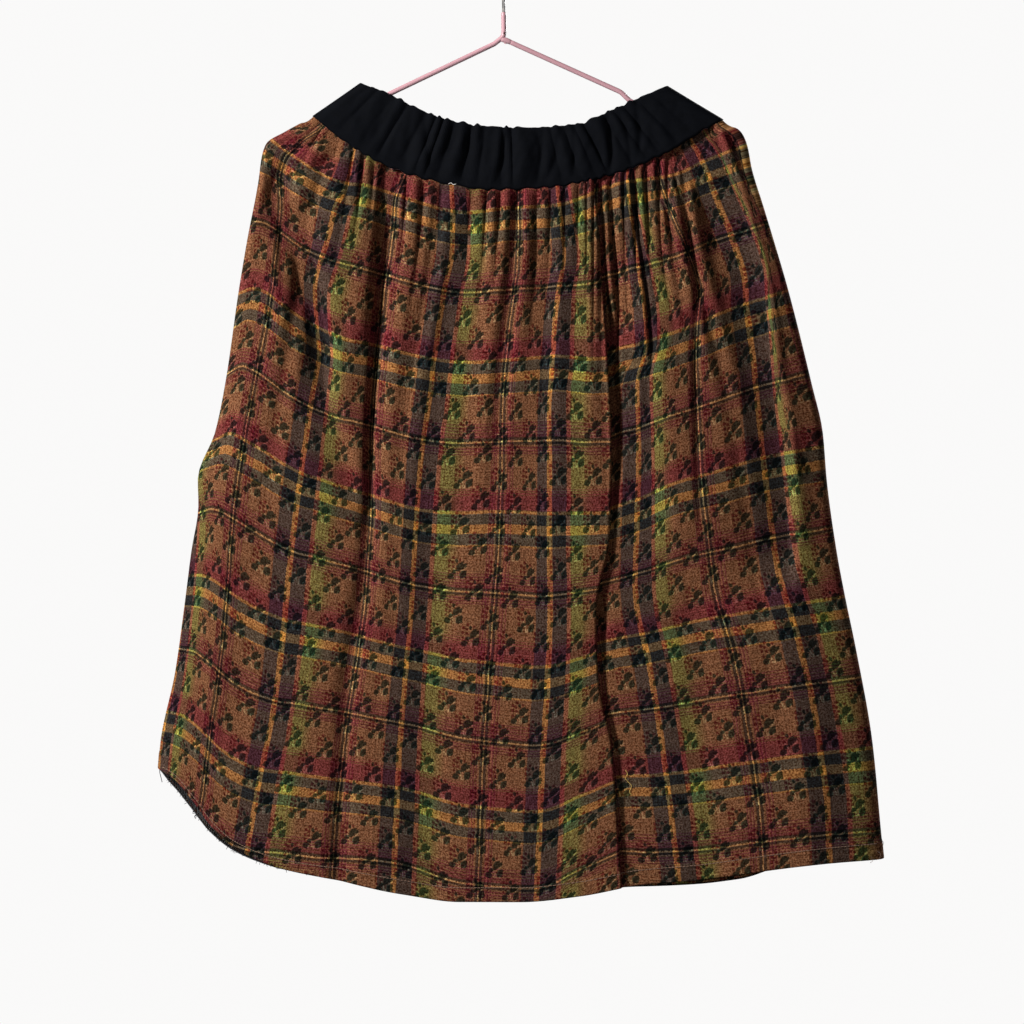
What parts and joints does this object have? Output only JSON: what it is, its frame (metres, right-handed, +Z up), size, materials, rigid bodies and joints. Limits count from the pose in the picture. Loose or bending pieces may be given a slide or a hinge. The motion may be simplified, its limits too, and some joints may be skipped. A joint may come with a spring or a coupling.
{
  "type": "midi skirt on a wire hanger",
  "caption": "Gathered plaid midi skirt with a wide puckered elastic waistband, hanging by its waist on a coated wire hanger with a bare metal hook.",
  "frame": {"origin": "underside of the hook's crown, the point that a rail or nail carries", "axes": "+Z up, -Y towards the viewer of the skirt's front, +X to the viewer's right, so X runs across the skirt and Y from front to back"},
  "size_m": [0.6701, 0.0576, 0.8831],
  "materials": {
    "plaid_cloth": "brushed brown plaid with orange, wine-red, green and charcoal bands",
    "black_jersey": "matt black knit over elastic",
    "pink_coating": "satin pink coating on wire",
    "bare_steel": "plain drawn wire"
  },
  "bodies": {
    "root": {"skirt_front": "plaid_cloth", "skirt_back": "plaid_cloth", "waistband_front": "black_jersey", "waistband_back": "black_jersey", "hanger_frame": "pink_coating", "hanger_hook": "bare_steel"}
  },
  "joints": []
}
